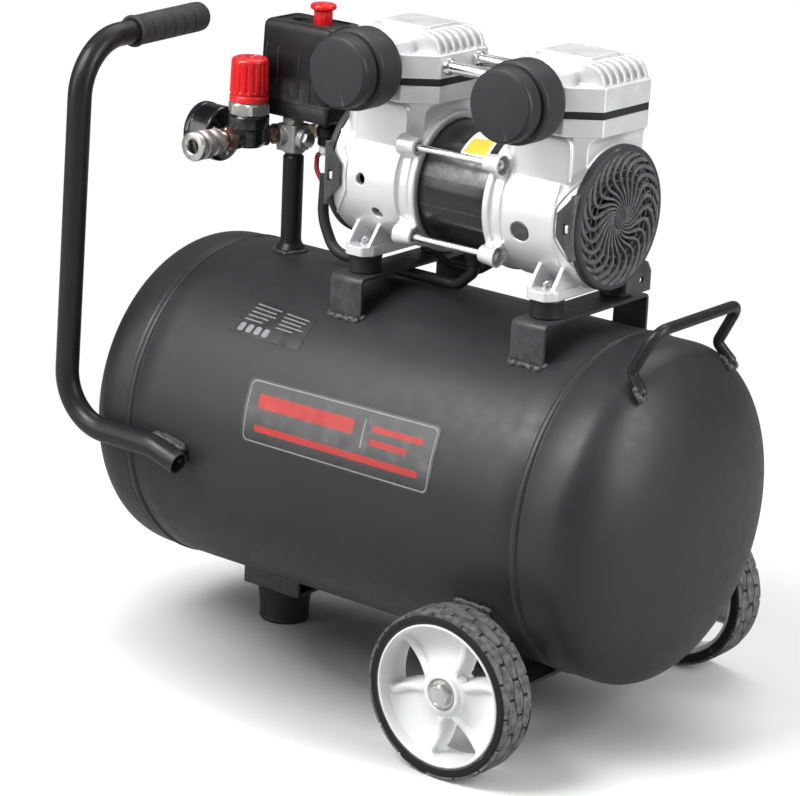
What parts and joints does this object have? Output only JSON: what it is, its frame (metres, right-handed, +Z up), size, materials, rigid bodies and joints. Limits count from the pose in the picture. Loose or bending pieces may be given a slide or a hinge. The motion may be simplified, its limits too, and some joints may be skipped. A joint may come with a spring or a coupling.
{
  "type": "portable air compressor",
  "caption": "Portable oil-free air compressor: horizontal tank on wheels and a rubber foot, twin-cylinder motor pump on top, regulator, gauge and tow handle.",
  "frame": {"origin": "on the floor, under the middle of the whole object's box, which is 8.4 mm towards the wheels from the middle between the tank's two weld seams", "axes": "+X along the tank towards the wheels, -Y towards the intake filters and the tow handle, +Z up"},
  "size_m": [0.5382, 0.3506, 0.5299],
  "materials": {
    "charcoal_powder_coat": "satin powder coat",
    "black_motor_paint": "satin",
    "cast_aluminium": "fine sand-cast, silver",
    "zinc_plated_steel": "bright zinc",
    "polished_chrome": "polished",
    "brass_fitting": "turned",
    "black_rubber": "matt",
    "tyre_rubber": "matt",
    "white_wheel_plastic": "satin moulded",
    "dark_grey_plastic": "fine grained",
    "gloss_black_plastic": "gloss",
    "gloss_red_plastic": "gloss",
    "needle_red_paint": "satin"
  },
  "bodies": {
    "compressor_frame": {"air_tank": "charcoal_powder_coat", "axle_bracket": "charcoal_powder_coat", "coupler_body": "polished_chrome", "crankcase_left": "cast_aluminium", "crankcase_right": "cast_aluminium", "cylinder_head_left": "cast_aluminium", "cylinder_head_right": "cast_aluminium", "cylinder_left": "cast_aluminium", "cylinder_right": "cast_aluminium", "drain_valve_body": "brass_fitting", "fan_cover_left": "dark_grey_plastic", "fan_cover_right": "dark_grey_plastic", "foot_bracket": "charcoal_powder_coat", "gauge_case": "gloss_black_plastic", "handle_grip": "black_rubber", "head_gasket_left": "black_rubber", "head_gasket_right": "black_rubber", "intake_filter_left": "dark_grey_plastic", "intake_filter_right": "dark_grey_plastic", "lift_handle": "charcoal_powder_coat", "manifold": "cast_aluminium", "motor_cable": "dark_grey_plastic", "motor_stator": "black_motor_paint", "mount_bracket_left": "charcoal_powder_coat", "mount_bracket_right": "charcoal_powder_coat", "outlet_adaptor": "brass_fitting", "pressure_switch_base": "dark_grey_plastic", "pressure_switch_cover": "gloss_black_plastic", "regulator_body": "gloss_black_plastic", "riser_pipe": "charcoal_powder_coat", "rubber_foot": "black_rubber", "rubber_mount_front_left": "black_rubber", "rubber_mount_front_right": "black_rubber", "rubber_mount_rear_left": "black_rubber", "rubber_mount_rear_right": "black_rubber", "safety_valve_body": "brass_fitting", "tie_rod_front_lower": "zinc_plated_steel", "tie_rod_front_upper": "zinc_plated_steel", "tie_rod_rear_lower": "zinc_plated_steel", "tie_rod_rear_upper": "zinc_plated_steel", "transfer_tube_front": "polished_chrome", "transfer_tube_rear": "polished_chrome", "trolley_handle": "charcoal_powder_coat", "wheel_bolt_front": "zinc_plated_steel", "wheel_bolt_rear": "zinc_plated_steel"},
    "front_wheel": {"wheel_rim_front": "white_wheel_plastic", "tyre_front": "tyre_rubber"},
    "rear_wheel": {"wheel_rim_rear": "white_wheel_plastic", "tyre_rear": "tyre_rubber"},
    "motor_rotor": {"rotor_shaft": "zinc_plated_steel", "cooling_fan_left": "dark_grey_plastic", "cooling_fan_right": "dark_grey_plastic"},
    "left_piston": {"piston_left": "cast_aluminium"},
    "right_piston": {"piston_right": "cast_aluminium"},
    "pressure_regulator_knob": {"regulator_knob": "gloss_red_plastic"},
    "power_switch_knob": {"switch_knob": "gloss_red_plastic"},
    "pressure_gauge_needle": {"gauge_needle": "needle_red_paint"},
    "quick_coupler_sleeve": {"coupler_sleeve": "polished_chrome"},
    "drain_knob": {"drain_valve_knob": "dark_grey_plastic"},
    "safety_ring": {"safety_valve_ring": "zinc_plated_steel"}
  },
  "joints": [
    {"name": "front_wheel_spin", "type": "hinge", "parent": "compressor_frame", "child": "front_wheel", "pos_m": [0.15096, -0.1585, 0.0658], "axis": [0, 1, 0], "continuous": true},
    {"name": "rear_wheel_spin", "type": "hinge", "parent": "compressor_frame", "child": "rear_wheel", "pos_m": [0.15096, 0.1585, 0.0658], "axis": [0, 1, 0], "continuous": true},
    {"name": "rotor_spin", "type": "hinge", "parent": "compressor_frame", "child": "motor_rotor", "pos_m": [0.04836, 0, 0.4067], "axis": [1, 0, 0], "continuous": true},
    {"name": "left_piston_stroke", "type": "slide", "parent": "compressor_frame", "child": "left_piston", "axis": [0, 0, 1], "range_m": [-0.017, 0]},
    {"name": "right_piston_stroke", "type": "slide", "parent": "compressor_frame", "child": "right_piston", "axis": [0, 0, 1], "range_m": [0, 0.017]},
    {"name": "regulator_turn", "type": "hinge", "parent": "compressor_frame", "child": "pressure_regulator_knob", "pos_m": [-0.17244, -0.0315, 0.461], "axis": [0, 0, 1], "range_deg": [-630, 0]},
    {"name": "switch_pull", "type": "slide", "parent": "compressor_frame", "child": "power_switch_knob", "axis": [0, 0, 1], "range_m": [0, 0.005]},
    {"name": "needle_turn", "type": "hinge", "parent": "compressor_frame", "child": "pressure_gauge_needle", "pos_m": [-0.21843, -0.0315, 0.412], "axis": [1, 0, 0], "range_deg": [0, 270]},
    {"name": "coupler_sleeve_slide", "type": "slide", "parent": "compressor_frame", "child": "quick_coupler_sleeve", "axis": [0, 1, 0], "range_m": [0, 0.004]},
    {"name": "drain_turn", "type": "hinge", "parent": "compressor_frame", "child": "drain_knob", "pos_m": [0.06157, 0, 0.031], "axis": [0, 0, 1], "range_deg": [0, 540]},
    {"name": "safety_ring_pull", "type": "slide", "parent": "compressor_frame", "child": "safety_ring", "axis": [0, 1, 0], "range_m": [0, 0.003]}
  ]
}
